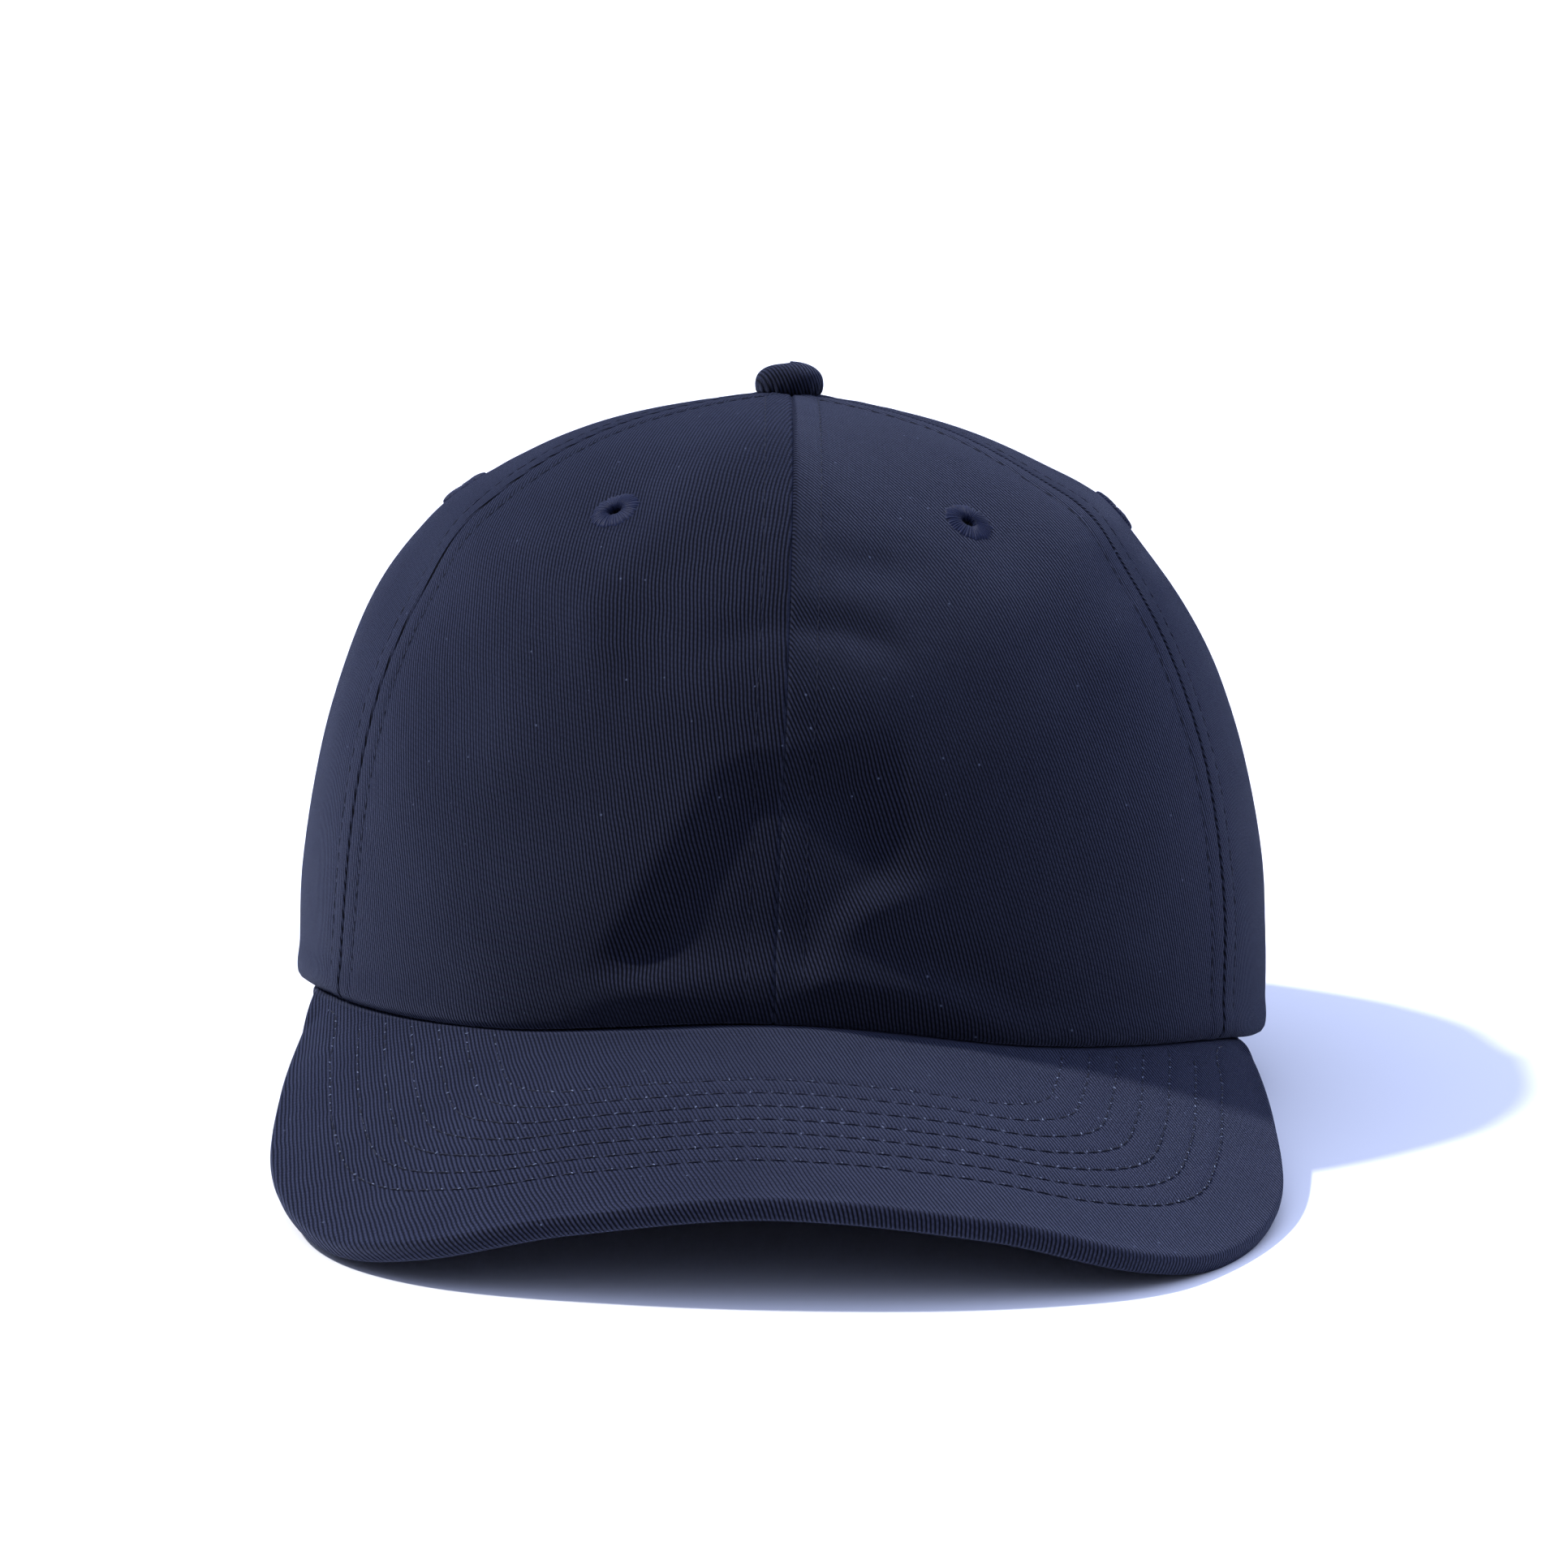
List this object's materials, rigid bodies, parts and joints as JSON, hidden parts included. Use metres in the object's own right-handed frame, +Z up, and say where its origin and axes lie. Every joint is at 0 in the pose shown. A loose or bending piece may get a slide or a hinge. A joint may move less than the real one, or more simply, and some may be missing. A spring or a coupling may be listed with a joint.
{
  "type": "baseball cap",
  "caption": "Six-panel baseball cap with a curved visor, a sweatband and a buckled back strap that sets its size.",
  "frame": {"origin": "centre of the head opening, in the plane of the crown's lower edge at the back and sides", "axes": "+Z up through the button, -Y towards the visor's front edge, +X to the wearer's left"},
  "size_m": [0.18, 0.2509, 0.1464],
  "materials": {
    "cotton_twill": "washed navy twill",
    "cotton_tape": "navy cotton tape",
    "aged_brass": "aged satin",
    "visor_board_plastic": "matte",
    "label_satin": "satin"
  },
  "bodies": {
    "cap": {"panel_front_right": "cotton_twill", "panel_side_right": "cotton_twill", "panel_rear_right": "cotton_twill", "panel_rear_left": "cotton_twill", "panel_side_left": "cotton_twill", "panel_front_left": "cotton_twill", "eyelet_front_right": "cotton_twill", "eyelet_side_right": "cotton_twill", "eyelet_rear_right": "cotton_twill", "eyelet_rear_left": "cotton_twill", "eyelet_side_left": "cotton_twill", "eyelet_front_left": "cotton_twill", "seam_tape_front_right": "cotton_tape", "seam_tape_rear_right": "cotton_tape", "seam_tape_rear_left": "cotton_tape", "seam_tape_front_left": "cotton_tape", "seam_tape_centre": "cotton_tape", "arch_tape": "cotton_tape", "sweatband": "cotton_tape", "care_label": "label_satin", "visor_cover_top": "cotton_twill", "visor_board": "visor_board_plastic", "visor_cover_under": "cotton_twill", "button_cover": "cotton_twill", "button_shell": "aged_brass", "button_back": "aged_brass", "buckle_frame": "aged_brass", "buckle_pin": "aged_brass", "buckle_tab": "cotton_twill"},
    "strap": {"strap": "cotton_twill"},
    "buckle_lever": {"buckle_lever": "aged_brass"}
  },
  "joints": [
    {"name": "strap_slide", "type": "hinge", "parent": "cap", "child": "strap", "pos_m": [0, 0, 0.013], "axis": [0, 0, -1], "range_deg": [0, 36]},
    {"name": "buckle_lever_hinge", "type": "hinge", "parent": "cap", "child": "buckle_lever", "pos_m": [-0.01612, 0.0872, 0.013], "axis": [0, 0, -1], "range_deg": [0, 100]}
  ]
}
